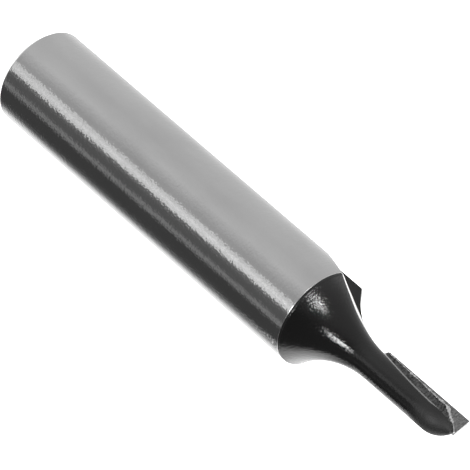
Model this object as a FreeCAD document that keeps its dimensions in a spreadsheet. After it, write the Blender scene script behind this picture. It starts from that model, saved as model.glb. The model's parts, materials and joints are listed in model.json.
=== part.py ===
import FreeCAD, Part
import math
import os
import Sketcher

# Straight router bit, one flute, stood on the end of its shank.
# The turning axis is Z and the tip points up. The origin is the centre of the shank's end face.
# The cutting edge lies in the XZ plane on the +X side, and its rake face looks along +Y,
# the way the edge travels in a router that turns clockwise seen from the shank.

# Ends of a sketch line or arc, and the sketch's own origin and upright axis, as constraints number them
START = 1
END = 2
CENTRE = 3
ORIGIN = -1
VERTICAL_AXIS = -2

# Driving dimensions in millimetres and degrees
DRIVING = {
    "shank_diameter": 8.0,
    "shank_length": 32.7,
    "head_length": 14.35,
    "end_chamfer": 0.35,
    "neck_diameter": 2.36,
    "flare_radius": 7.6,
    "nose_radius": 2.47,
    "nose_half_angle": 45.0,
    "nose_flat_diameter": 0.4,
    "cutting_diameter": 3.2,
    "cutting_length": 8.6,
    "blade_thickness": 0.5,
    "blade_inner_edge": 0.1,
    "blade_overhang": 0.25,
    "side_relief": 14.0,
    "end_relief": 20.0,
    "solder_film": 0.05,
    "bare_strip_foot": 0.15,
    "bare_strip_nose": 0.24,
    "bare_tip_length": 2.2,
    "gullet_setback": 0.16,
    "wheel_radius": 62.5,
    "wheel_past_axis": 0.02,
    "wheel_above_tip": 3.65,
}

# Sizes that follow from the driving ones
DERIVED = {
    "shank_radius": "=shank_diameter / 2",
    "neck_radius": "=neck_diameter / 2",
    "cutting_radius": "=cutting_diameter / 2",
    "overall_length": "=shank_length + head_length",
    "nose_height": "=overall_length - blade_overhang",
    "nose_flat_radius": "=nose_flat_diameter / 2",
    "cone_radius": "=neck_radius - nose_radius * (1 - cos(nose_half_angle * 1deg))",
    "cone_foot": "=nose_height - (cone_radius - nose_flat_radius) / tan(nose_half_angle * 1deg)",
    "blade_foot": "=overall_length - cutting_length",
    "seat_inner": "=blade_inner_edge - solder_film",
    "seat_foot": "=blade_foot - solder_film",
    "seat_width": "=blade_thickness + 2 * solder_film",
    "lap_foot_edge": "=cutting_radius - bare_strip_foot",
    "lap_nose_edge": "=cutting_radius - bare_strip_nose",
    "lap_corner": "=overall_length - bare_tip_length",
    "lap_cone_edge": "=cone_radius + solder_film",
    "lap_top": "=cone_foot + (lap_cone_edge - seat_inner) / tan(nose_half_angle * 1deg)",
    "wheel_offset": "=wheel_radius - wheel_past_axis",
    "wheel_height": "=overall_length + wheel_above_tip",
    "clear_reach": "=shank_diameter",
    "clear_height": "=overall_length + shank_radius",
}

doc = FreeCAD.newDocument("straight_router_bit")


def make_sheet():
    sheet = doc.addObject("Spreadsheet::Sheet", "sizes")
    rows = list(DRIVING.items()) + list(DERIVED.items())
    for row, (alias, content) in enumerate(rows, start=1):
        sheet.set(f"A{row}", alias)
        sheet.set(f"B{row}", str(content))
        sheet.setAlias(f"B{row}", alias)
    doc.recompute()
    return sheet


sizes = make_sheet()


def size(alias):
    return float(getattr(sizes, alias))


def new_body(label):
    body = doc.addObject("PartDesign::Body", label)
    body.Label = label
    return body


def sketch_on(body, label, role, lift=None):
    """A sketch on one of the body's own planes, lifted along the plane's normal by an expression."""
    plane = next(feature for feature in body.Origin.OriginFeatures if feature.Role == role)
    sketch = body.newObject("Sketcher::SketchObject", label)
    sketch.AttachmentSupport = [(plane, "")]
    sketch.MapMode = "FlatFace"
    if lift:
        sketch.setExpression("AttachmentOffset.Base.z", lift)
    return sketch


def line(sketch, start, end):
    segment = Part.LineSegment(FreeCAD.Vector(*start, 0), FreeCAD.Vector(*end, 0))
    return sketch.addGeometry(segment, False)


def arc(sketch, centre, radius, start_angle, end_angle):
    """A circular arc that runs counter-clockwise between two angles in degrees."""
    circle = Part.Circle(FreeCAD.Vector(*centre, 0), FreeCAD.Vector(0, 0, 1), radius)
    bow = Part.ArcOfCircle(circle, math.radians(start_angle), math.radians(end_angle))
    return sketch.addGeometry(bow, False)


def constrain(sketch, kind, *where):
    return sketch.addConstraint(Sketcher.Constraint(kind, *where))


def dimension(sketch, name, expression, kind, *where):
    """A dimension of the sketch that takes its value from the sheet."""
    index = constrain(sketch, kind, *where)
    sketch.renameConstraint(index, name)
    sketch.setExpression(f"Constraints.{name}", expression)


def place_x(sketch, alias, geometry, end):
    """Holds one end of a line or arc at the sheet's distance from the axis."""
    place = (ORIGIN, START, geometry, end, size(alias))
    dimension(sketch, alias, f"sizes.{alias}", "DistanceX", *place)


def place_z(sketch, alias, geometry, end):
    """Holds one end of a line or arc at the sheet's height above the shank's end."""
    place = (ORIGIN, START, geometry, end, size(alias))
    dimension(sketch, alias, f"sizes.{alias}", "DistanceY", *place)


def closed_outline(sketch, corners):
    """Straight lines through the corners, joined end to end; the numbers of the lines come back."""
    sides = [line(sketch, a, b) for a, b in zip(corners, corners[1:] + corners[:1])]
    for here, ahead in zip(sides, sides[1:] + sides[:1]):
        constrain(sketch, "Coincident", here, END, ahead, START)
    return sides


def square_outline(sketch, inner, outer, foot, top):
    """An upright rectangle between two distances from the axis and two heights, given by alias."""
    near, far = size(inner), size(outer)
    low, high = size(foot), size(top)
    corners = [(near, low), (far, low), (far, high), (near, high)]
    floor, outer_side, roof, inner_side = closed_outline(sketch, corners)
    for level in (floor, roof):
        constrain(sketch, "Horizontal", level)
    for upright in (outer_side, inner_side):
        constrain(sketch, "Vertical", upright)
    place_x(sketch, inner, floor, START)
    place_z(sketch, foot, floor, START)
    place_x(sketch, outer, outer_side, END)
    place_z(sketch, top, outer_side, END)


# Turned blank: shank, flared head, slender neck and rounded nose in one profile.
# The nose is a bow that runs on as a cone, and the cone ends in a small flat.
def turned_blank(body):
    radius = size("shank_radius")
    chamfer = size("end_chamfer")
    shank = size("shank_length")
    neck = size("neck_radius")
    flare = size("flare_radius")
    nose = size("nose_radius")
    half_angle = math.radians(size("nose_half_angle"))
    cone_radius = size("cone_radius")
    cone_foot = size("cone_foot")
    flat = size("nose_flat_radius")
    top = size("nose_height")

    drop = radius - neck
    flare_top = shank + math.sqrt(2 * flare * drop - drop**2)
    flare_turn = math.degrees(math.asin((flare_top - shank) / flare))
    nose_foot = cone_foot - nose * math.sin(half_angle)

    sketch = sketch_on(body, "turning_profile", "XZ_Plane")
    face = line(sketch, (0, 0), (radius - chamfer, 0))
    bevel = line(sketch, (radius - chamfer, 0), (radius, chamfer))
    side = line(sketch, (radius, chamfer), (radius, shank))
    bell = arc(sketch, (neck + flare, flare_top), flare, 180, 180 + flare_turn)
    stem = line(sketch, (neck, flare_top), (neck, nose_foot))
    bow = arc(sketch, (neck - nose, nose_foot), nose, 0, size("nose_half_angle"))
    cone = line(sketch, (cone_radius, cone_foot), (flat, top))
    crown = line(sketch, (flat, top), (0, top))
    axis = line(sketch, (0, top), (0, 0))

    constrain(sketch, "Coincident", face, START, ORIGIN, START)
    constrain(sketch, "Coincident", face, END, bevel, START)
    constrain(sketch, "Coincident", bevel, END, side, START)
    constrain(sketch, "Coincident", side, END, bell, END)
    constrain(sketch, "Tangent", bell, START, stem, START)
    constrain(sketch, "Tangent", stem, END, bow, START)
    constrain(sketch, "Tangent", bow, END, cone, START)
    constrain(sketch, "Coincident", cone, END, crown, START)
    constrain(sketch, "Coincident", crown, END, axis, START)
    constrain(sketch, "Coincident", axis, END, face, START)
    constrain(sketch, "Horizontal", face)
    constrain(sketch, "Horizontal", crown)
    constrain(sketch, "Vertical", side)
    constrain(sketch, "Vertical", stem)
    constrain(sketch, "Vertical", axis)

    bevel_ends = (bevel, START, bevel, END, chamfer)
    dimension(sketch, "bevel_width", "sizes.end_chamfer", "DistanceX", *bevel_ends)
    dimension(sketch, "bevel_height", "sizes.end_chamfer", "DistanceY", *bevel_ends)
    place_x(sketch, "shank_radius", side, START)
    place_z(sketch, "shank_length", side, END)
    dimension(sketch, "flare_radius", "sizes.flare_radius", "Radius", bell, flare)
    place_x(sketch, "neck_radius", stem, END)
    dimension(sketch, "nose_radius", "sizes.nose_radius", "Radius", bow, nose)
    cone_lean = (axis, START, cone, END, half_angle)
    dimension(sketch, "nose_lean", "sizes.nose_half_angle * 1deg", "Angle", *cone_lean)
    place_x(sketch, "nose_flat_radius", cone, END)
    place_z(sketch, "nose_height", axis, START)

    turning = body.newObject("PartDesign::Revolution", "turning")
    turning.Profile = sketch
    turning.ReferenceAxis = (sketch, ["V_Axis"])
    turning.Angle = 360


# Gullet: one plunge of a grinding wheel, whose flat side leaves the wall just behind the rake
# plane and whose rim leaves the long floor that climbs out through the head into the shank
def gullet(body):
    wheel = size("wheel_radius")
    offset = size("wheel_offset")
    height = size("wheel_height")
    reach = size("clear_reach")
    top = size("clear_height")
    low_turn = math.acos((offset - reach) / wheel)
    high_turn = math.asin((top - height) / wheel)
    foot = (reach, height - wheel * math.sin(low_turn))
    lip = (offset - wheel * math.cos(high_turn), top)
    bow = (180 - math.degrees(high_turn), 180 + math.degrees(low_turn))

    sketch = sketch_on(body, "gullet_outline", "XZ_Plane", "sizes.gullet_setback")
    rim = arc(sketch, (offset, height), wheel, *bow)
    roof = line(sketch, lip, (reach, top))
    open_side = line(sketch, (reach, top), foot)

    constrain(sketch, "Coincident", rim, START, roof, START)
    constrain(sketch, "Coincident", roof, END, open_side, START)
    constrain(sketch, "Coincident", open_side, END, rim, END)
    constrain(sketch, "Horizontal", roof)
    constrain(sketch, "Vertical", open_side)
    dimension(sketch, "wheel_radius", "sizes.wheel_radius", "Radius", rim, wheel)
    place_x(sketch, "wheel_offset", rim, CENTRE)
    place_z(sketch, "wheel_height", rim, CENTRE)
    place_x(sketch, "clear_reach", roof, END)
    place_z(sketch, "clear_height", roof, END)

    plunge = body.newObject("PartDesign::Pocket", "wheel_plunge")
    plunge.Profile = sketch
    plunge.Type = "Length"
    plunge.setExpression("Length", "sizes.clear_reach")


# Blade seat: a slot from the +X side that takes the blade with a film of solder round it
def blade_seat(body):
    sketch = sketch_on(body, "seat_outline", "XZ_Plane", "-sizes.solder_film")
    square_outline(sketch, "seat_inner", "clear_reach", "seat_foot", "clear_height")

    slot = body.newObject("PartDesign::Pocket", "seat_slot")
    slot.Profile = sketch
    slot.Type = "Length"
    slot.Reversed = True
    slot.setExpression("Length", "sizes.seat_width")


# Steel body: the turned blank with its gullet and its blade seat
def make_steel_body():
    body = new_body("steel_body")
    turned_blank(body)
    gullet(body)
    blade_seat(body)
    return body


# Carbide blade: a flat plate, ground back behind its long edge and behind its end edge
def make_carbide_blade():
    body = new_body("carbide_blade")
    sketch = sketch_on(body, "blade_outline", "XZ_Plane")
    square_outline(sketch, "blade_inner_edge", "cutting_radius", "blade_foot", "overall_length")
    plate = body.newObject("PartDesign::Pad", "plate")
    plate.Profile = sketch
    plate.setExpression("Length", "sizes.blade_thickness")
    grind_side_relief(body)
    grind_end_relief(body)
    return body


# Side relief: a wedge taken off behind the long edge, along the whole blade
def grind_side_relief(body):
    edge = size("cutting_radius")
    thickness = size("blade_thickness")
    drop = thickness * math.tan(math.radians(size("side_relief")))

    sketch = sketch_on(body, "side_relief_outline", "XY_Plane")
    corners = [(edge, 0), (edge, -thickness), (edge - drop, -thickness)]
    flank, back, _ = closed_outline(sketch, corners)
    constrain(sketch, "Vertical", flank)
    constrain(sketch, "Horizontal", back)
    constrain(sketch, "PointOnObject", flank, START, ORIGIN)
    place_x(sketch, "cutting_radius", flank, START)
    depth = (flank, END, flank, START, thickness)
    dimension(sketch, "depth", "sizes.blade_thickness", "DistanceY", *depth)
    lean = "sizes.blade_thickness * tan(sizes.side_relief * 1deg)"
    dimension(sketch, "drop", lean, "DistanceX", back, END, back, START, drop)

    grind = body.newObject("PartDesign::Pocket", "side_relief_grind")
    grind.Profile = sketch
    grind.Type = "Length"
    grind.Reversed = True
    grind.setExpression("Length", "sizes.clear_height")


# End relief: a wedge taken off behind the end edge, across the whole blade
def grind_end_relief(body):
    tip = size("overall_length")
    thickness = size("blade_thickness")
    drop = thickness * math.tan(math.radians(size("end_relief")))

    sketch = sketch_on(body, "end_relief_outline", "YZ_Plane")
    corners = [(0, tip), (-thickness, tip), (-thickness, tip - drop)]
    crown, back, _ = closed_outline(sketch, corners)
    constrain(sketch, "Horizontal", crown)
    constrain(sketch, "Vertical", back)
    constrain(sketch, "PointOnObject", crown, START, VERTICAL_AXIS)
    place_z(sketch, "overall_length", crown, START)
    depth = (crown, END, crown, START, thickness)
    dimension(sketch, "depth", "sizes.blade_thickness", "DistanceX", *depth)
    lean = "sizes.blade_thickness * tan(sizes.end_relief * 1deg)"
    dimension(sketch, "drop", lean, "DistanceY", back, END, back, START, drop)

    grind = body.newObject("PartDesign::Pocket", "end_relief_grind")
    grind.Profile = sketch
    grind.Type = "Length"
    grind.Reversed = True
    grind.setExpression("Length", "sizes.clear_reach")


# Lap of solder on the rake face: wider than the neck along the blade, then in over the bare tip
# to the nose's cone, which it follows a film's thickness clear, up to the blade's inner edge
def make_lap():
    body = new_body("seam_lap")
    inner = size("seat_inner")
    foot = size("seat_foot")
    foot_corner = (size("lap_foot_edge"), foot)
    nose_corner = (size("lap_nose_edge"), size("lap_corner"))
    cone_corner = (size("lap_cone_edge"), size("cone_foot"))
    top_corner = (inner, size("lap_top"))

    sketch = sketch_on(body, "lap_outline", "XZ_Plane")
    corners = [(inner, foot), foot_corner, nose_corner, cone_corner, top_corner]
    floor, rim, slope, peak, inner_side = closed_outline(sketch, corners)
    constrain(sketch, "Horizontal", floor)
    constrain(sketch, "Vertical", inner_side)
    place_x(sketch, "seat_inner", floor, START)
    place_z(sketch, "seat_foot", floor, START)
    place_x(sketch, "lap_foot_edge", floor, END)
    place_x(sketch, "lap_nose_edge", rim, END)
    place_z(sketch, "lap_corner", rim, END)
    place_x(sketch, "lap_cone_edge", slope, END)
    place_z(sketch, "cone_foot", slope, END)
    place_z(sketch, "lap_top", peak, END)

    film = body.newObject("PartDesign::Pad", "lap_film")
    film.Profile = sketch
    film.Reversed = True
    film.setExpression("Length", "sizes.solder_film")
    return body


# Silver solder: the film that fills the seat round the blade, with its lap on the rake face
def make_solder_seam(blade):
    limit = new_body("seam_limit")
    turned_blank(limit)

    slot = doc.addObject("Part::Box", "seam_slot")
    slot.setExpression("Placement.Base.x", "sizes.seat_inner")
    slot.setExpression("Placement.Base.y", "-sizes.blade_thickness - sizes.solder_film")
    slot.setExpression("Placement.Base.z", "sizes.seat_foot")
    slot.setExpression("Length", "sizes.clear_reach")
    slot.setExpression("Width", "sizes.seat_width")
    slot.setExpression("Height", "sizes.clear_height - sizes.seat_foot")

    filling = doc.addObject("Part::Common", "seam_filling")
    filling.Base = limit
    filling.Tool = slot

    pool = doc.addObject("Part::Fuse", "seam_pool")
    pool.Base = filling
    pool.Tool = make_lap()

    seam = doc.addObject("Part::Cut", "solder_seam")
    seam.Base = pool
    seam.Tool = blade
    seam.Label = "solder_seam"
    return seam


def check_pieces(pieces):
    failed = [item.Label for item in doc.Objects if {"Invalid", "Error"} & set(item.State)]
    if failed:
        raise RuntimeError(f"these objects did not rebuild: {failed}")
    for piece in pieces:
        shape = piece.Shape
        if shape.isNull() or not shape.isValid() or len(shape.Solids) != 1:
            raise RuntimeError(f"{piece.Label} is not one valid solid")


def write_pieces(pieces):
    os.makedirs("parts", exist_ok=True)
    for piece in pieces:
        piece.Shape.exportStep(f"parts/{piece.Label}.step")
        box = piece.Shape.optimalBoundingBox()
        print(f"{piece.Label}: {piece.Shape.Volume:.3f} mm3")
        print(f"    X {box.XMin:.3f} to {box.XMax:.3f}, Y {box.YMin:.3f} to {box.YMax:.3f}")
        print(f"    Z {box.ZMin:.3f} to {box.ZMax:.3f}")


steel_body = make_steel_body()
carbide_blade = make_carbide_blade()
solder_seam = make_solder_seam(carbide_blade)
doc.recompute()

PIECES = [steel_body, carbide_blade, solder_seam]
check_pieces(PIECES)
write_pieces(PIECES)
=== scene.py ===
# %% [markdown]
# A straight router bit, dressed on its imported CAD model.
# The bit stands on the end of its shank, with the turning axis on Z and the tip up.
# The model is loaded first, because it fixes the place and the size of all that follows.

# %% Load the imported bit
import json
import math

import bmesh
import bpy
from mathutils import Matrix, Vector, noise

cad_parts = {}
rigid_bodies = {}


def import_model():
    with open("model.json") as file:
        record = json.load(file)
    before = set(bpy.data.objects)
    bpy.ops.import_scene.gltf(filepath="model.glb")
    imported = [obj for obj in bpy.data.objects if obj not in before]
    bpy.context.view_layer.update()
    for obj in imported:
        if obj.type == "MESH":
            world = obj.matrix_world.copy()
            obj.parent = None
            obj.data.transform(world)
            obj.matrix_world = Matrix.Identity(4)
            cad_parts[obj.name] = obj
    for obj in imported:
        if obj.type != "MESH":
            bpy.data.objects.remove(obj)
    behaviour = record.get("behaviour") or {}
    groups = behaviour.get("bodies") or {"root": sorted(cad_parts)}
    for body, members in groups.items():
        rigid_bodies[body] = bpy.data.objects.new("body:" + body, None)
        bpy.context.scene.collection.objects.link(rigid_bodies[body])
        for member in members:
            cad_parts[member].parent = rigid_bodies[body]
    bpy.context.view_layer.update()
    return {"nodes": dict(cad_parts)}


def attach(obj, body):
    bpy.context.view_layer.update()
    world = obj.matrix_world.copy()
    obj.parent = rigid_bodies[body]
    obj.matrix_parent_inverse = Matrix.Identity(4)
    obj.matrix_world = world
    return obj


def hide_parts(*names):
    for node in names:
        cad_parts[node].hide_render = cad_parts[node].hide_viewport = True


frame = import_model()
MM = 0.001
print("nodes:", sorted(frame["nodes"]))

# %% [markdown]
# The camera looks down on the bit from the rake face's side and is rolled, so that the
# tip points to the lower right. A long lens keeps the shank's sides nearly parallel.

# %% Camera
CAMERA_PLACE = Vector((-115.35, 300.49, 214.64)) * MM
AXIS_POINT = Vector((0, 0, 24)) * MM
AIM_BELOW = 1.282
AIM_LEFT = 0.551
ROLL = math.radians(40.9574)
SENSOR = 36
LENS = 389.4


def degrees_round_z(point):
    return math.degrees(math.atan2(point.y, point.x))


towards = (AXIS_POINT - CAMERA_PLACE).normalized()
level = towards.cross(Vector((0, 0, 1))).normalized()
rising = level.cross(towards)
aim = AXIS_POINT - AIM_BELOW * MM * rising - AIM_LEFT * MM * level
sight = (aim - CAMERA_PLACE).normalized()
image_right = math.cos(ROLL) * rising - math.sin(ROLL) * level
image_right = (image_right - image_right.dot(sight) * sight).normalized()
image_up = image_right.cross(sight)

camera_data = bpy.data.cameras.new("camera")
camera_data.sensor_width = SENSOR
camera_data.lens = LENS
camera = bpy.data.objects.new("camera", camera_data)
bpy.context.scene.collection.objects.link(camera)
camera.matrix_world = Matrix((
    (image_right.x, image_up.x, -sight.x, CAMERA_PLACE.x),
    (image_right.y, image_up.y, -sight.y, CAMERA_PLACE.y),
    (image_right.z, image_up.z, -sight.z, CAMERA_PLACE.z),
    (0, 0, 0, 1),
))
bpy.context.scene.camera = camera
CAMERA_AZIMUTH = degrees_round_z(CAMERA_PLACE)
print("camera is", round((AXIS_POINT - CAMERA_PLACE).length / MM), "mm away")

# %% [markdown]
# Helpers for node materials. A node is added with its settings, and each input takes
# a plain value or the output of another node, so that a material reads from top to bottom.
# An input goes by its name, or by its number after an underscore.

# %% Node helpers
def new_material(name):
    """A material, its shader, and functions that add nodes and feed their inputs."""
    made = bpy.data.materials.new(name)
    made.use_nodes = True
    tree = made.node_tree
    shader = tree.nodes["Principled BSDF"]

    def add(kind, settings=None, **inputs):
        item = tree.nodes.new(kind)
        for key, value in (settings or {}).items():
            setattr(item, key, value)
        feed(item, inputs)
        return item

    def feed(item, inputs):
        for key, value in inputs.items():
            socket = item.inputs[int(key[1:])] if key[0] == "_" else item.inputs[key.replace("_", " ")]
            if isinstance(value, bpy.types.NodeSocket):
                tree.links.new(value, socket)
            else:
                socket.default_value = value

    return made, shader, add, feed


def in_millimetres(add):
    """The surface's place in millimetres."""
    place = add("ShaderNodeTexCoord").outputs["Object"]
    return add("ShaderNodeVectorMath", {"operation": "SCALE"}, Vector=place, Scale=1 / MM).outputs[0]


def stretched_noise(add, place, per_mm, detail=2.0, roughness=0.5):
    """Noise with so many grains to a millimetre along X, Y and Z, from 0 to 1."""
    fitted = add("ShaderNodeVectorMath", {"operation": "MULTIPLY"}, _0=place, _1=per_mm).outputs[0]
    return add("ShaderNodeTexNoise", Vector=fitted, Scale=1.0, Detail=detail,
               Roughness=roughness).outputs["Fac"]


def sums(add, operation, first, second=0.0, third=0.0):
    """One step of arithmetic on up to three values."""
    return add("ShaderNodeMath", {"operation": operation}, _0=first, _1=second, _2=third).outputs[0]


def spread(add, value, low, high, out_low=0.0, out_high=1.0, smooth=True):
    """value between low and high, carried over to out_low and out_high."""
    kind = "SMOOTHSTEP" if smooth else "LINEAR"
    return add("ShaderNodeMapRange", {"interpolation_type": kind}, Value=value, From_Min=low,
               From_Max=high, To_Min=out_low, To_Max=out_high).outputs[0]


def grey(value):
    return (value, value, value, 1)


def grey_from(add, value):
    """A grey as light as the output of another node."""
    return add("ShaderNodeCombineColor", Red=value, Green=value, Blue=value).outputs[0]


def blend_colour(add, share, first, second):
    """first where share is 0 and second where it is 1: a mix's inputs 6 and 7 are its colours."""
    return add("ShaderNodeMix", {"data_type": "RGBA"}, _0=share, _6=first, _7=second).outputs[2]


# %% [markdown]
# Helpers for modelling by hand. Everything is deselected before a primitive is added,
# because an operator acts on all that is selected.

# %% Modelling helpers
def let_go():
    for item in list(bpy.context.selected_objects):
        item.select_set(False)


def take(piece):
    let_go()
    piece.select_set(True)
    bpy.context.view_layer.objects.active = piece


def edit(piece):
    take(piece)
    bpy.ops.object.mode_set(mode="EDIT")
    bpy.ops.mesh.select_all(action="DESELECT")


def leave_edit():
    bpy.ops.object.mode_set(mode="OBJECT")


def pick(piece, kind, test):
    """Selects the vertices or faces that pass a test, in the mesh that is being edited."""
    mesh = bmesh.from_edit_mesh(piece.data)
    mesh.select_mode = {{"verts": "VERT", "faces": "FACE"}[kind]}
    for part in getattr(mesh, kind):
        part.select_set(bool(test(part)))
    mesh.select_flush_mode()
    bmesh.update_edit_mesh(piece.data)


def settle(piece):
    """Puts the piece's place, turn and size into its mesh."""
    take(piece)
    bpy.ops.object.transform_apply(location=True, rotation=True, scale=True)


def cut_away(piece, tool):
    """Takes the tool's shape out of the piece and throws the tool away."""
    take(piece)
    cut = piece.modifiers.new("cut", "BOOLEAN")
    cut.operation = "DIFFERENCE"
    cut.solver = "EXACT"
    cut.object = tool
    bpy.ops.object.modifier_apply(modifier="cut")
    bpy.data.objects.remove(tool)


# %% [markdown]
# The body is turned steel: shank, flared head, slender neck and rounded nose in one piece.
# It could be built from cylinders and cones, but a lathe makes it in one go, and so does
# spin: one vertex is drawn out along half the outline, and the line is spun round Z.
# Corners get a small round, because no ground or turned corner is sharp. Sizes are in
# millimetres, a point of the outline is a radius and a height, and the flare and the nose
# are arcs: the flare's ends upright in the neck, and the nose's in a cone of 45 degrees.

# %% Half outline of the body
SHANK = 4.0
COAT_LINE = 32.48
RIM = 32.7
NECK = 1.18
FLARE = 7.6
NOSE = 2.47
NOSE_TOP = 46.8
NOSE_FLAT = 0.2
NOSE_TURN = math.radians(45)
END_BEVEL = 0.35
END_ROUND = 0.06
BEVEL_ROUND = 0.08
RIM_ROUND = 0.03
NOSE_ROUND = 0.06
FLARE_STEPS = 56
NOSE_STEPS = 14

flare_top = RIM + math.sqrt(2 * FLARE * (SHANK - NECK) - (SHANK - NECK) ** 2)
cone_radius = NECK - NOSE * (1 - math.cos(NOSE_TURN))
cone_foot = NOSE_TOP - (cone_radius - NOSE_FLAT)
nose_foot = cone_foot - NOSE * math.sin(NOSE_TURN)
above_rim = RIM + 0.2
SHANK_RINGS = (8, 16, 22, 26, 28, 29, 30, 31, 32, COAT_LINE)
NECK_RINGS = (40, 41, 42, 43, 44, nose_foot)


def rounded(before, corner, after, reach, steps=4):
    """Points of a small round in place of a corner, starting and ending at reach from it."""
    before, corner, after = Vector(before), Vector(corner), Vector(after)
    start = corner + (before - corner).normalized() * reach
    end = corner + (after - corner).normalized() * reach
    curve = []
    for step in range(steps + 1):
        t = step / steps
        curve.append(tuple(start * (1 - t) ** 2 + corner * 2 * t * (1 - t) + end * t * t))
    return curve


def flare_radius_at(height):
    return NECK + FLARE - math.sqrt(FLARE**2 - (flare_top - height) ** 2)


outline = [(0, 0)]
outline += rounded((0, 0), (SHANK - END_BEVEL, 0), (SHANK, END_BEVEL), END_ROUND)
outline += rounded((SHANK - END_BEVEL, 0), (SHANK, END_BEVEL), (SHANK, RIM), BEVEL_ROUND)
outline += [(SHANK, z) for z in SHANK_RINGS]
outline += rounded((SHANK, COAT_LINE), (SHANK, RIM), (flare_radius_at(above_rim), above_rim), RIM_ROUND)
for step in range(1, FLARE_STEPS + 1):
    z = RIM + (flare_top - RIM) * step / FLARE_STEPS
    outline.append((flare_radius_at(z), z))
outline += [(NECK, z) for z in NECK_RINGS]
for step in range(1, NOSE_STEPS + 1):
    turn = NOSE_TURN * step / NOSE_STEPS
    outline.append((NECK - NOSE + NOSE * math.cos(turn), nose_foot + NOSE * math.sin(turn)))
outline += rounded((cone_radius, cone_foot), (NOSE_FLAT, NOSE_TOP), (0, NOSE_TOP), NOSE_ROUND)
outline.append((0, NOSE_TOP))
print("outline has", len(outline), "points")

# %% [markdown]
# A plane merged to one vertex is the start. It is drawn out from point to point and spun a
# full turn, and the doubles along the seam and on the axis are welded.

# %% Draw the outline and spin it
ROUND_STEPS = 256
WELD = 0.0005

let_go()
bpy.ops.mesh.primitive_plane_add(size=1 * MM, location=(0, 0, 0))
body = bpy.context.active_object
body.name = "turned_body"
edit(body)
bpy.ops.mesh.select_all(action="SELECT")
bpy.ops.mesh.merge(type="CENTER")
for here, ahead in zip(outline, outline[1:]):
    step = Vector((ahead[0] - here[0], 0, ahead[1] - here[1])) * MM
    bpy.ops.mesh.extrude_region_move(TRANSFORM_OT_translate={"value": step})
bpy.ops.mesh.select_all(action="SELECT")
bpy.ops.mesh.spin(steps=ROUND_STEPS, angle=math.tau, center=(0, 0, 0), axis=(0, 0, 1))
bpy.ops.mesh.select_all(action="SELECT")
bpy.ops.mesh.remove_doubles(threshold=WELD * MM)
bpy.ops.mesh.normals_make_consistent(inside=False)
leave_edit()
print("turned body:", len(body.data.polygons), "faces")

# %% [markdown]
# The gullet is the hollow that gives the chips room. A grinding wheel plunges in beside the
# blade: its flat side leaves the wall behind the blade, and its rim leaves the long floor
# that runs out through the head into the shank. Wheel-shaped discs are cut away here, too:
# the large one leaves the run-out, and a smaller one the finger beside the blade. A wheel is
# given by its radius and the X and Z of its centre, because the finishes need them as well.

# %% Grind the gullet
RUN_OUT_WHEEL = (62.5, 62.48, 50.7)
FINGER_WHEEL = (38.0, 38.33, 45.9)
RUN_OUT_TOP = 40.0
WALL = -0.16
WHEEL_WIDTH = 10
WHEEL_SIDES = 2048


def grinding_wheel(radius, centre_x, centre_z):
    """A disc whose flat side stands in the gullet's wall."""
    let_go()
    bpy.ops.mesh.primitive_cylinder_add(
        vertices=WHEEL_SIDES, radius=radius * MM, depth=WHEEL_WIDTH * MM, end_fill_type="NGON",
        location=(centre_x * MM, (WALL + WHEEL_WIDTH / 2) * MM, centre_z * MM),
        rotation=(math.pi / 2, 0, 0),
    )
    disc = bpy.context.active_object
    settle(disc)
    return disc


run_out_disc = grinding_wheel(*RUN_OUT_WHEEL)
edit(run_out_disc)
bpy.ops.mesh.select_all(action="SELECT")
bpy.ops.mesh.bisect(plane_co=(0, 0, RUN_OUT_TOP * MM), plane_no=(0, 0, 1), use_fill=True, clear_outer=True)
leave_edit()
cut_away(body, run_out_disc)
cut_away(body, grinding_wheel(*FINGER_WHEEL))
print("after the gullet:", len(body.data.polygons), "faces")

# %% [markdown]
# The blade sits in a slot sawn from the cutting side, one film of solder wider than the blade.

# %% Saw the blade seat
SEAT_INNER = 0.05
SEAT_FOOT = 38.4
SEAT_BACK = -0.55
SEAT_FRONT = 0.05
SAW_REACH = 8
SAW_HIGH = 12

let_go()
bpy.ops.mesh.primitive_cube_add(
    size=1, scale=(SAW_REACH * MM, (SEAT_FRONT - SEAT_BACK) * MM, SAW_HIGH * MM),
    location=(
        (SEAT_INNER + SAW_REACH / 2) * MM,
        (SEAT_FRONT + SEAT_BACK) / 2 * MM,
        (SEAT_FOOT + SAW_HIGH / 2) * MM,
    ),
)
saw = bpy.context.active_object
cut_away(body, saw)
print("after the seat:", len(body.data.polygons), "faces")

# %% [markdown]
# Turned faces are shaded smooth, and an edge that turns by more than 30 degrees stays crisp.
# The finished body then stands for its CAD node.

# %% Finish the body's surface
CRISP_FROM = math.radians(30)

take(body)
bpy.ops.object.shade_smooth_by_angle(angle=CRISP_FROM)
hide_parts("steel_body")
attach(body, "root")
print("crisp edges:", sum(edge.use_edge_sharp for edge in body.data.edges))

# %% [markdown]
# The shank is centreless-ground: fine marks run round it, so it shines as a long soft
# streak. Anisotropy with the tangent round the axis keeps the streak's sides crisp while it
# spreads along the shank. The marks are noise drawn out round the axis, and where the
# grinding ends under the coating's rim a hair of it stays matt and is painted white, a
# painted highlight along the rim.

# %% Ground steel
GRAIN_DEPTH = 0.02
SCUFF_SHARE = 0.5
LIP = 0.04
POLISH = 0.12
LIP_MATT = 0.35

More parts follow.
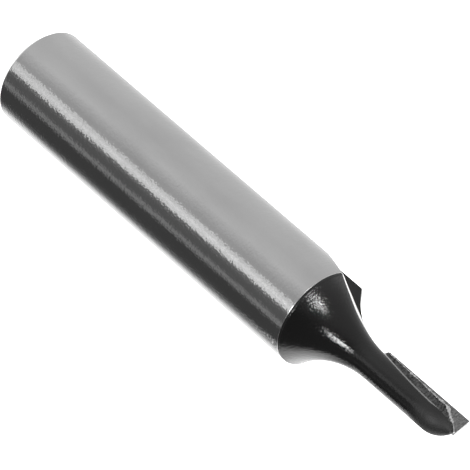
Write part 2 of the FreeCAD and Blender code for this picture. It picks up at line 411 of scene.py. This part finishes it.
ground_steel, shader, add, feed = new_material("ground steel")
place = in_millimetres(add)
marks = stretched_noise(add, place, (1.2, 1.2, 6.0), detail=2)
scuffs = stretched_noise(add, place, (5.5, 5.5, 6.5), detail=1)
cloud = stretched_noise(add, place, (0.35, 0.35, 0.18), detail=3)
tone = spread(add, cloud, 0.25, 0.75, 0.575, 0.63)
height = add("ShaderNodeSeparateXYZ", Vector=place).outputs["Z"]
# painted highlight: a thin band under the coating's rim is painted white, brighter than the steel
lip_and_glint = sums(add, "GREATER_THAN", height, COAT_LINE - LIP)
tangent = add("ShaderNodeTangent", {"direction_type": "RADIAL", "axis": "Z"}).outputs[0]
relief = sums(add, "MULTIPLY_ADD", scuffs, SCUFF_SHARE, marks)
grain = add("ShaderNodeBump", Strength=1.0, Distance=GRAIN_DEPTH * MM, Height=relief).outputs[0]
feed(shader, {
    "Base Color": blend_colour(add, lip_and_glint, grey_from(add, tone), grey(1.0)),
    "Metallic": 1.0,
    "Roughness": sums(add, "MULTIPLY_ADD", lip_and_glint, LIP_MATT, POLISH),
    "Anisotropic": 1.0, "Anisotropic Rotation": 0.25, "Tangent": tangent, "Normal": grain,
})
print("ground steel:", len(ground_steel.node_tree.nodes), "nodes")

# %% [markdown]
# The head and neck have a black coating over steel: dark, glossy and finely grainy, so
# highlights break up into specks. Along the ground edge of the gullet it is worn to bright
# metal. That edge is found by its distance from the wheel, and a slope in the bump rounds it.
# The worn line is widest on the flare, narrower along the finger, and fades out at the nose.
# Its colour is partly a painted highlight: white on the flare and painted darker up the finger.

# %% Black coating
COAT_TONE = 0.006
COAT_GLOSS = 0.09
NOSE_DULL = 0.6
FRONT_CLEAR = 0.02
FLOOR_CLEAR = 0.003
WORN_SLOPE = 0.9
WORN_METAL = 0.8
WORN_MATT = 0.25
NEVER_ZERO = 0.001

black_coat, shader, add, feed = new_material("black coating")
place = in_millimetres(add)
specks = stretched_noise(add, place, (7.5, 7.5, 7.5), detail=1)
pores = add("ShaderNodeBump", Strength=1.0, Distance=GRAIN_DEPTH * MM, Height=specks).outputs[0]
matt_specks = spread(add, stretched_noise(add, place, (9.0, 9.0, 9.0), detail=1), 0.4, 0.62, 0.0, 0.1)
xyz = add("ShaderNodeSeparateXYZ", Vector=place)
depth_from_rake, height = xyz.outputs["Y"], xyz.outputs["Z"]


def clear_of_wheel(radius, centre_x, centre_z):
    """How far the surface is from a wheel's rim, in millimetres."""
    across = sums(add, "SUBTRACT", xyz.outputs["X"], centre_x)
    along = sums(add, "SUBTRACT", height, centre_z)
    squares = sums(add, "MULTIPLY_ADD", across, across, sums(add, "MULTIPLY", along, along))
    return sums(add, "SUBTRACT", sums(add, "SQRT", squares), radius)


above_run_out = sums(add, "GREATER_THAN", height, RUN_OUT_TOP)
from_large = sums(add, "ADD", clear_of_wheel(*RUN_OUT_WHEEL), above_run_out)
to_edge = sums(add, "MINIMUM", from_large, clear_of_wheel(*FINGER_WHEEL))
flare_width = spread(add, height, 32.5, 34.8, 0.06, 0.2, smooth=False)
finger_width = spread(add, height, 35.5, 37.8, 1.0, 0.6)
fading = spread(add, height, 44.3, 45.6, 1.0, 0.0)
width = sums(add, "MULTIPLY", flare_width, sums(add, "MULTIPLY", finger_width, fading))
near_edge = sums(add, "LESS_THAN", to_edge, width)
front = sums(add, "GREATER_THAN", depth_from_rake, SEAT_FRONT + FRONT_CLEAR)
off_floor = sums(add, "GREATER_THAN", to_edge, FLOOR_CLEAR)
bare_edge_and_glint = sums(add, "MULTIPLY", near_edge, sums(add, "MULTIPLY", front, off_floor))
# painted highlight: the bare edge is painted white on the flare and darker up the finger, where its glint
# fades
brightness = spread(add, height, 34.8, 39.8, 1.0, 0.32, smooth=False)
nose_dullness = spread(add, height, 42.6, 45.0, COAT_GLOSS, NOSE_DULL)
dullness = sums(add, "MAXIMUM", nose_dullness, sums(add, "ADD", matt_specks, COAT_GLOSS))
past_edge = sums(add, "MINIMUM", sums(add, "MAXIMUM", to_edge, 0.0), width)
left_over = sums(add, "SUBTRACT", width, past_edge)
squared = sums(add, "MULTIPLY", left_over, left_over)
fall = sums(add, "DIVIDE", squared, sums(add, "ADD", width, NEVER_ZERO))
worn = add("ShaderNodeBump", Strength=1.0, Distance=-WORN_SLOPE * MM, Height=fall, Normal=pores).outputs[0]
feed(shader, {
    "Base Color": blend_colour(add, bare_edge_and_glint, grey(COAT_TONE), grey_from(add, brightness)),
    "Metallic": sums(add, "MULTIPLY", bare_edge_and_glint, WORN_METAL),
    "Roughness": sums(add, "MULTIPLY_ADD", bare_edge_and_glint, WORN_MATT, dullness), "IOR": 1.5, "Normal": worn,
})
print("black coating:", len(black_coat.node_tree.nodes), "nodes")

# %% [markdown]
# The coating ends just under the flare's rim, so each face takes its finish by its height.

# %% Give the body its two finishes
body.data.materials.clear()
for finish in (ground_steel, black_coat):
    body.data.materials.append(finish)
for face in body.data.polygons:
    face.material_index = 1 if face.center.z > COAT_LINE * MM else 0
print("coated:", sum(face.material_index for face in body.data.polygons), "faces")

# %% [markdown]
# The blade is a flat plate of sintered carbide. It starts as a cube of the plate's size, and
# its back is drawn in at the side and the tip, so that the two cutting edges have relief
# behind them. Then all edges get a hair of a bevel, as a diamond wheel and a little use
# leave them.

# %% Carbide plate
BLADE_INNER = 0.1
BLADE_OUTER = 1.6
BLADE_BACK = -0.5
BLADE_FOOT = 38.45
BLADE_TIP = 47.05
SIDE_RELIEF = math.radians(14)
END_RELIEF = math.radians(20)
EDGE_BEVEL = 0.02
CRISP_EDGE_FROM = math.radians(20)

side_drop = -BLADE_BACK * math.tan(SIDE_RELIEF)
end_drop = -BLADE_BACK * math.tan(END_RELIEF)
middle_x = (BLADE_INNER + BLADE_OUTER) / 2
middle_z = (BLADE_FOOT + BLADE_TIP) / 2


def at_back(vertex):
    return vertex.co.y < BLADE_BACK / 2 * MM


let_go()
bpy.ops.mesh.primitive_cube_add(
    size=1, location=(middle_x * MM, BLADE_BACK / 2 * MM, middle_z * MM),
    scale=((BLADE_OUTER - BLADE_INNER) * MM, -BLADE_BACK * MM, (BLADE_TIP - BLADE_FOOT) * MM),
)
plate = bpy.context.active_object
plate.name = "carbide_plate"
settle(plate)
edit(plate)
pick(plate, "verts", lambda v: at_back(v) and v.co.x > middle_x * MM)
bpy.ops.transform.translate(value=(-side_drop * MM, 0, 0))
pick(plate, "verts", lambda v: at_back(v) and v.co.z > middle_z * MM)
bpy.ops.transform.translate(value=(0, 0, -end_drop * MM))
bpy.ops.mesh.select_all(action="SELECT")
bpy.ops.mesh.bevel(offset=EDGE_BEVEL * MM, segments=2, affect="EDGES")
leave_edit()
bpy.ops.object.shade_smooth_by_angle(angle=CRISP_EDGE_FROM)
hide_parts("carbide_blade")
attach(plate, "root")
print("carbide plate:", len(plate.data.polygons), "faces")

# %% [markdown]
# Silver solder holds the plate. Where the rake face was ground, the solder's rim stands as
# a ragged bright bead, which runs up beside the cutting edge and then slants in over the
# tip to the nose. It is drawn as a bar with an oval section, one short step after another,
# and each section gets its own width, as solder that ran and was smeared has. The run is a
# list of heights, each with the bead's middle and its half width there.

# %% Run of the solder bead
BEAD = [
    (38.3, 1.18, 0.06), (38.42, 1.4, 0.13), (38.55, 1.5, 0.05), (39.9, 1.45, 0.045), (40.8, 1.42, 0.045),
    (41.0, 1.41, 0.085), (41.25, 1.4, 0.085), (41.5, 1.39, 0.045), (42.3, 1.38, 0.045), (42.5, 1.37, 0.08),
    (42.8, 1.37, 0.07), (43.6, 1.35, 0.065), (44.75, 1.32, 0.065), (45.1, 1.22, 0.13), (45.5, 1.03, 0.19),
    (45.9, 0.82, 0.17), (46.25, 0.63, 0.1), (46.6, 0.42, 0.05), (47.0, 0.1, 0.035),
]
BEAD_STEPS = 150
BEAD_SIDES = 12
BEAD_RISE = 0.035
THINNEST = 0.5


def along_bead(height):
    """The bead's middle and half width at a height."""
    for (low, x_low, w_low), (high, x_high, w_high) in zip(BEAD, BEAD[1:]):
        if height <= high:
            t = (height - low) / (high - low)
            return x_low + t * (x_high - x_low), w_low + t * (w_high - w_low)
    return BEAD[-1][1:]


def ripple(height, per_mm, lane):
    """Noise round zero along the bead; each lane is a noise of its own."""
    return noise.noise(Vector((height * per_mm, lane, 0)))


sections = []
for step in range(BEAD_STEPS + 1):
    z = BEAD[0][0] + (BEAD[-1][0] - BEAD[0][0]) * step / BEAD_STEPS
    x, half = along_bead(z)
    rough = 0.5 * ripple(z, per_mm=2.3, lane=0.5) + 1.3 * ripple(z, per_mm=6.7, lane=4.5)
    wander = 0.8 * ripple(z, per_mm=4.2, lane=9.5)
    sections.append((x + half * wander, z, half * max(THINNEST, 1 + rough)))
print("solder bead:", len(sections), "sections")

# %% [markdown]
# A circle is laid on the solder's face, pressed flat and drawn out from section to section.

# %% Draw the solder bead
def on_rake(x, z):
    """A point on the face of the solder, which lies just in front of the rake plane."""
    return (x * MM, SEAT_FRONT * MM, z * MM)


let_go()
x, z, half = sections[0]
bpy.ops.mesh.primitive_circle_add(
    vertices=BEAD_SIDES, radius=1 * MM, fill_type="NGON", location=on_rake(x, z),
)
bead = bpy.context.active_object
bead.name = "solder_bead"
settle(bead)
edit(bead)
bpy.ops.mesh.select_all(action="SELECT")
bpy.ops.transform.resize(value=(half, BEAD_RISE, 1), center_override=on_rake(x, z))
for (x_here, z_here, half_here), (x_next, z_next, half_next) in zip(sections, sections[1:]):
    move = Vector((x_next - x_here, 0, z_next - z_here)) * MM
    bpy.ops.mesh.extrude_region_move(TRANSFORM_OT_translate={"value": move})
    bpy.ops.transform.resize(value=(half_next / half_here, 1, 1), center_override=on_rake(x_next, z_next))
bpy.ops.mesh.select_all(action="SELECT")
bpy.ops.mesh.normals_make_consistent(inside=False)
leave_edit()
bpy.ops.object.shade_smooth()
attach(bead, "root")
print("solder bead:", len(bead.data.polygons), "faces")

# %% [markdown]
# Carbide that is ground dull is a dark grey with fine marks across the blade. The solder
# over it is smeared darker still, and only its raised rim is bright silver. All three are
# scratched metals that differ in grain, tone and polish, so one function makes them.

# %% Blade and solder finishes
def scratched_metal(name, per_mm, dark, light, roughness, depth):
    """Dull metal whose tone and bump follow marks with so many grains to a millimetre."""
    made, shader, add, feed = new_material(name)
    marks = stretched_noise(add, in_millimetres(add), per_mm, detail=4, roughness=0.65)
    tone = spread(add, marks, 0.3, 0.72, dark, light)
    grain = add("ShaderNodeBump", Strength=0.7, Distance=depth * MM, Height=marks).outputs[0]
    feed(shader, {
        "Base Color": grey_from(add, tone), "Metallic": 1.0, "Roughness": roughness, "Normal": grain,
    })
    return made


carbide = scratched_metal(
    "ground carbide", (4.0, 6.0, 9.0), dark=0.12, light=0.36, roughness=0.35, depth=0.004,
)
smeared_solder = scratched_metal(
    "smeared solder", (5.0, 8.0, 8.0), dark=0.03, light=0.2, roughness=0.38, depth=0.006,
)
silver_solder = scratched_metal(
    "silver solder", (6.0, 6.0, 6.0), dark=0.45, light=1.0, roughness=0.3, depth=0.03,
)
plate.data.materials.append(carbide)
bead.data.materials.append(silver_solder)
seam = frame["nodes"]["solder_seam"]
seam.data.materials.clear()
seam.data.materials.append(smeared_solder)
print("finishes:", [finish.name for finish in (carbide, smeared_solder, silver_solder)])

# %% [markdown]
# Polished and coated metal shows its surroundings more than its own colour, so the studio
# matters as much as the materials. A glowing white floor lies under the bit. Mirror rays
# pass through it, because the cards of the next cell reach below it.

# %% Floor
FLOOR_SIZE = 4

let_go()
bpy.ops.mesh.primitive_plane_add(size=FLOOR_SIZE)
floor = bpy.context.active_object
floor.name = "floor"
white_floor, shader, add, feed = new_material("white floor")
feed(shader, {
    "Base Color": grey(0.9), "Roughness": 1.0, "Specular IOR Level": 0.0,
    "Emission Color": grey(1.0), "Emission Strength": 1.6,
})
floor.data.materials.append(white_floor)
floor.visible_glossy = False
print("floor:", FLOOR_SIZE, "m wide")

# %% [markdown]
# Round the bit stands a tent of cards that only mirror rays see: white behind, grey on one
# side, black on the other. A card is a stop on a colour ramp, given by its azimuth from the
# camera's and its brightness. The ramps go round the bit in two rows that blend where they
# meet, and the cards lean, so that their edges come further round the higher they stand.

# %% Card tent
TENT_RADIUS = 1.5
LOWER_CARDS = [
    (-180, 1.0), (-125, 0.7), (-60, 0.62), (-25, 0.68), (2, 0.47), (11, 0.5),
    (14, 1.0), (18, 0.64), (22, 1.06), (26, 0.64), (31, 1.0), (34, 0.22), (44, 0.13), (59, 0.12),
    (65, 0.3), (70, 0.27), (75, 0.066), (116, 0.066), (128, 0.2), (148, 1.1), (180, 1.3),
]
UPPER_CARDS = [
    (-180, 2.8), (-158, 2.6), (-147, 1.6), (-130, 0.7), (-100, 0.52), (-70, 0.47), (-42, 0.4),
    (-22, 0.22), (-6, 0.12), (90, 0.12), (96, 0.16), (101, 2.4), (180, 2.8),
]
ROWS_BLEND_FROM = TENT_RADIUS * math.sin(math.radians(-18))
LEAN_FROM = -0.3
LEAN = 0.067


def row_of_cards(add, way_round, cards):
    """A colour ramp with a stop for each card; way_round runs from 0 to 1."""
    ramp = add("ShaderNodeValToRGB", Fac=way_round)
    stops = ramp.color_ramp.elements
    while len(stops) > 1:
        stops.remove(stops[0])
    for index, (azimuth, brightness) in enumerate(cards):
        at = azimuth / 360 + 0.5
        stop = stops[0] if index == 0 else stops.new(at)
        stop.position = at
        stop.color = grey(brightness)
    return ramp.outputs[0]


def for_mirror_rays(card, finish):
    """Gives a card its glow, which the camera doesn't see and which lights nothing dull."""
    card.data.materials.append(finish)
    finish.cycles.emission_sampling = "NONE"
    for ray in ("camera", "diffuse", "transmission", "volume_scatter", "shadow"):
        setattr(card, "visible_" + ray, False)


let_go()
bpy.ops.mesh.primitive_uv_sphere_add(segments=96, ring_count=48, radius=TENT_RADIUS)
tent = bpy.context.active_object
tent.name = "card_tent"
card_light, shader, add, feed = new_material("card tent")
place = add("ShaderNodeTexCoord").outputs["Object"]
turn = (0, 0, math.radians(-CAMERA_AZIMUTH))
axes = add("ShaderNodeSeparateXYZ", Vector=add("ShaderNodeMapping", Vector=place, Rotation=turn).outputs[0])
angle = sums(add, "ARCTAN2", axes.outputs["Y"], axes.outputs["X"])
upright = sums(add, "MULTIPLY_ADD", angle, 1 / math.tau, 0.5)
above = sums(add, "MAXIMUM", sums(add, "SUBTRACT", axes.outputs["Z"], LEAN_FROM), 0.0)
leant = sums(add, "MULTIPLY_ADD", above, -LEAN, upright)
lower_row = row_of_cards(add, leant, LOWER_CARDS)
upper_row = row_of_cards(add, leant, UPPER_CARDS)
upper_share = spread(add, axes.outputs["Z"], ROWS_BLEND_FROM, 0.0, smooth=False)
glow = add("ShaderNodeEmission", Color=blend_colour(add, upper_share, lower_row, upper_row))
feed(card_light.node_tree.nodes["Material Output"], {"Surface": glow.outputs[0]})
card_light.node_tree.nodes.remove(shader)
for_mirror_rays(tent, card_light)
print("card tent:", len(LOWER_CARDS), "lower and", len(UPPER_CARDS), "upper stops")

# %% [markdown]
# The neck has a light band along its lower edge that the shank lacks. One big tent can't
# give it, because both would see the same cards. A low strip of white card close to the bit
# can: the rays that the neck mirrors, high up, land on it, and the shank's pass below its foot.

# %% Low card beside the neck
LOW_CARD_AWAY = 60
LOW_CARD_FOOT = 5
LOW_CARD_HIGH = 10
LOW_CARD_FROM = 104
LOW_CARD_TO = 175

let_go()
bpy.ops.mesh.primitive_cylinder_add(
    vertices=120, radius=LOW_CARD_AWAY * MM, depth=LOW_CARD_HIGH * MM, end_fill_type="NOTHING",
    location=(0, 0, (LOW_CARD_FOOT + LOW_CARD_HIGH / 2) * MM),
    rotation=(0, 0, math.radians(CAMERA_AZIMUTH)),
)
low_card = bpy.context.active_object
low_card.name = "low_card"
edit(low_card)
pick(low_card, "faces", lambda f: not LOW_CARD_FROM < degrees_round_z(f.calc_center_median()) < LOW_CARD_TO)
bpy.ops.mesh.delete(type="FACE")
leave_edit()
low_glow, shader, add, feed = new_material("low card")
feed(shader, {"Base Color": grey(0.0), "Emission Color": grey(1.0), "Emission Strength": 1.8})
for_mirror_rays(low_card, low_glow)
print("low card:", len(low_card.data.polygons), "faces")

# %% [markdown]
# Two lamps make the two grainy highlights on the coating: a softbox above gives the broad one
# under the rim, and an upright strip on the other side the long one on the neck. Dull
# surfaces don't see them, so the floor stays even under its own glow.

# %% Lamps
HEAD_MIDDLE = Vector((0, 0, 34)) * MM
LAMP_AWAY = 0.6
STUDIO_GLOW = 0.6


def lamp(name, azimuth, elevation, wide, high, power):
    """An area light that faces the bit's head; azimuth is counted from the camera's."""
    data = bpy.data.lights.new(name, "AREA")
    data.shape = "RECTANGLE"
    data.size = wide
    data.size_y = high
    data.energy = power
    made = bpy.data.objects.new(name, data)
    bpy.context.scene.collection.objects.link(made)
    around = math.radians(azimuth + CAMERA_AZIMUTH)
    up = math.radians(elevation)
    outwards = Vector((math.cos(around) * math.cos(up), math.sin(around) * math.cos(up), math.sin(up)))
    made.location = HEAD_MIDDLE + outwards * LAMP_AWAY
    made.rotation_euler = outwards.to_track_quat("Z", "Y").to_euler()
    made.visible_camera = False
    made.visible_diffuse = False
    print(name, "at", [round(metres, 2) for metres in made.location])


lamp("strip_lamp", azimuth=23, elevation=11, wide=0.1, high=0.28, power=2.6)
lamp("softbox", azimuth=-34, elevation=54, wide=0.09, high=0.16, power=1.35)

world = bpy.data.worlds.new("studio")
world.use_nodes = True
surroundings = world.node_tree.nodes["Background"]
surroundings.inputs["Color"].default_value = grey(1.0)
surroundings.inputs["Strength"].default_value = STUDIO_GLOW
bpy.context.scene.world = world
bpy.context.scene.view_settings.view_transform = "Standard"
